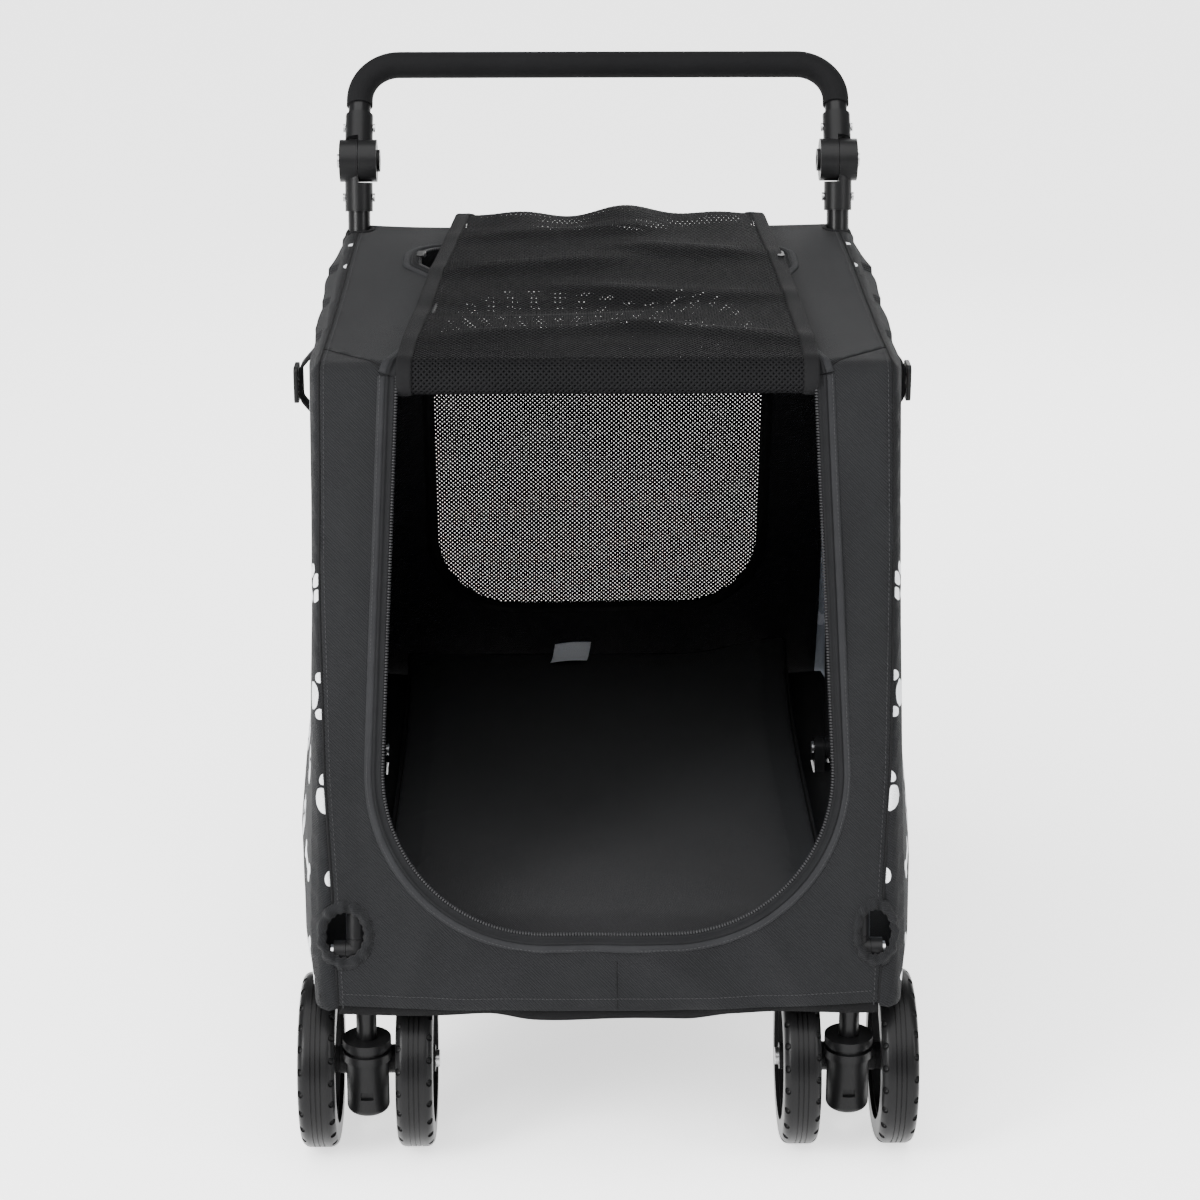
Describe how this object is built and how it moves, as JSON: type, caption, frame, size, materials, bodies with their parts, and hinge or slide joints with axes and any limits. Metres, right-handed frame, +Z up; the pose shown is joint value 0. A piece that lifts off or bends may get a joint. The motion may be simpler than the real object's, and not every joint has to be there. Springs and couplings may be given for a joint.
{
  "type": "pet stroller",
  "caption": "Folding pet stroller: fabric cabin with an arched zip doorway and net window on a tube frame, with swivel casters, rear wheels, foot brakes and a tilting push handle.",
  "frame": {"origin": "on the floor, under the middle of the stroller's box", "axes": "+Z up, -Y is the front with the doorway, +X to the right when facing the doorway"},
  "size_m": [0.6688, 0.924, 1.03],
  "materials": {
    "frame_tube": "satin black powder coat",
    "steel": "zinc-plated steel",
    "black_plastic": "moulded nylon, fine texture",
    "tyre": "moulded foam rubber",
    "foam_grip": "soft foam sleeve",
    "oxford_cloth": "black twill oxford cloth",
    "print_cloth": "black cloth with a white paw and bone print",
    "net_cloth": "open black mesh",
    "zip_tape": "zip tape with coil teeth",
    "webbing": "flat woven webbing",
    "cushion_cloth": "padded oxford cloth",
    "tag_cloth": "white woven tape, blank",
    "board": "dark fibre board"
  },
  "bodies": {
    "base": {"front_cross_tube": "frame_tube", "tube_caps": "black_plastic", "left_base_rail": "frame_tube", "right_base_rail": "frame_tube", "mid_cross_tube": "frame_tube", "rear_cross_tube": "frame_tube", "left_front_corner": "black_plastic", "right_front_corner": "black_plastic", "upright_lugs": "black_plastic", "pivot_pins": "steel", "caster_stems": "steel", "left_rear_leg": "black_plastic", "right_rear_leg": "black_plastic", "rear_axle": "steel", "floor_board": "board", "floor_cushion": "cushion_cloth", "care_tag": "tag_cloth", "front_panel": "oxford_cloth", "front_zip": "zip_tape", "roof_panel": "oxford_cloth", "left_side_panel": "print_cloth", "right_side_panel": "print_cloth", "rear_panel": "oxford_cloth", "rear_window_mesh": "net_cloth", "mesh_door": "net_cloth", "side_straps": "webbing", "strap_buckles": "black_plastic"},
    "front_hoop": {"front_hoop_tube": "frame_tube", "hoop_feet": "black_plastic"},
    "rear_frame": {"left_upright": "frame_tube", "right_upright": "frame_tube", "upright_feet": "black_plastic", "knuckle_bases": "black_plastic", "knuckle_bolts": "steel", "upright_rivets": "steel"},
    "handle": {"handle_bar": "frame_tube", "handle_rivets": "steel", "handle_grip": "foam_grip", "knuckle_caps": "black_plastic"},
    "left_button": {"left_knuckle_button": "black_plastic"},
    "left_caster": {"left_caster_housing": "black_plastic", "left_caster_axle": "steel"},
    "left_brake": {"left_brake_pedal": "black_plastic"},
    "right_button": {"right_knuckle_button": "black_plastic"},
    "right_caster": {"right_caster_housing": "black_plastic", "right_caster_axle": "steel"},
    "right_brake": {"right_brake_pedal": "black_plastic"},
    "left_outer_wheel": {"left_outer_tyre": "tyre", "left_outer_rim": "black_plastic"},
    "left_inner_wheel": {"left_inner_tyre": "tyre", "left_inner_rim": "black_plastic"},
    "left_rear_wheel": {"left_rear_tyre": "tyre", "left_rear_rim": "black_plastic"},
    "right_outer_wheel": {"right_outer_tyre": "tyre", "right_outer_rim": "black_plastic"},
    "right_inner_wheel": {"right_inner_tyre": "tyre", "right_inner_rim": "black_plastic"},
    "right_rear_wheel": {"right_rear_tyre": "tyre", "right_rear_rim": "black_plastic"}
  },
  "joints": [
    {"name": "rear_frame_fold", "type": "hinge", "parent": "base", "child": "rear_frame", "pos_m": [0, 0.125, 0.24], "axis": [1, 0, 0], "range_deg": [0, 99], "deforming": ["front_panel", "front_zip", "roof_panel", "left_side_panel", "right_side_panel", "rear_panel", "rear_window_mesh", "mesh_door", "side_straps", "strap_buckles"]},
    {"name": "front_hoop_fold", "type": "hinge", "parent": "base", "child": "front_hoop", "pos_m": [0, -0.42186, 0.24], "axis": [1, 0, 0], "range_deg": [-70, 0], "deforming": ["front_panel", "front_zip", "roof_panel", "left_side_panel", "right_side_panel", "rear_panel", "rear_window_mesh", "mesh_door", "side_straps", "strap_buckles"]},
    {"name": "handle_tilt", "type": "hinge", "parent": "rear_frame", "child": "handle", "pos_m": [0, 0.28465, 0.91539], "axis": [1, 0, 0], "range_deg": [-70, 100]},
    {"name": "left_button_press", "type": "slide", "parent": "handle", "child": "left_button", "axis": [-1, 0, 0], "range_m": [0, 0.003], "stiffness_N_per_m": 400},
    {"name": "left_caster_swivel", "type": "hinge", "parent": "base", "child": "left_caster", "pos_m": [-0.249, -0.405, 0.134], "axis": [0, 0, 1], "continuous": true},
    {"name": "left_brake_press", "type": "hinge", "parent": "base", "child": "left_brake", "pos_m": [-0.262, 0.387, 0.139], "axis": [-1, 0, 0], "range_deg": [0, 18]},
    {"name": "right_button_press", "type": "slide", "parent": "handle", "child": "right_button", "axis": [1, 0, 0], "range_m": [0, 0.003], "stiffness_N_per_m": 400},
    {"name": "right_caster_swivel", "type": "hinge", "parent": "base", "child": "right_caster", "pos_m": [0.249, -0.405, 0.134], "axis": [0, 0, 1], "continuous": true},
    {"name": "right_brake_press", "type": "hinge", "parent": "base", "child": "right_brake", "pos_m": [0.262, 0.387, 0.139], "axis": [-1, 0, 0], "range_deg": [0, 18]},
    {"name": "left_outer_spin", "type": "hinge", "parent": "left_caster", "child": "left_outer_wheel", "pos_m": [-0.299, -0.371, 0.091], "axis": [1, 0, 0], "continuous": true},
    {"name": "left_inner_spin", "type": "hinge", "parent": "left_caster", "child": "left_inner_wheel", "pos_m": [-0.199, -0.371, 0.091], "axis": [1, 0, 0], "continuous": true},
    {"name": "left_rear_spin", "type": "hinge", "parent": "base", "child": "left_rear_wheel", "pos_m": [-0.296, 0.352, 0.091], "axis": [1, 0, 0], "continuous": true},
    {"name": "right_outer_spin", "type": "hinge", "parent": "right_caster", "child": "right_outer_wheel", "pos_m": [0.299, -0.371, 0.091], "axis": [1, 0, 0], "continuous": true},
    {"name": "right_inner_spin", "type": "hinge", "parent": "right_caster", "child": "right_inner_wheel", "pos_m": [0.199, -0.371, 0.091], "axis": [1, 0, 0], "continuous": true},
    {"name": "right_rear_spin", "type": "hinge", "parent": "base", "child": "right_rear_wheel", "pos_m": [0.296, 0.352, 0.091], "axis": [1, 0, 0], "continuous": true}
  ],
  "couplings": [
    {"joint": "front_hoop_fold", "follows": "rear_frame_fold", "ratio": -0.69697}
  ]
}
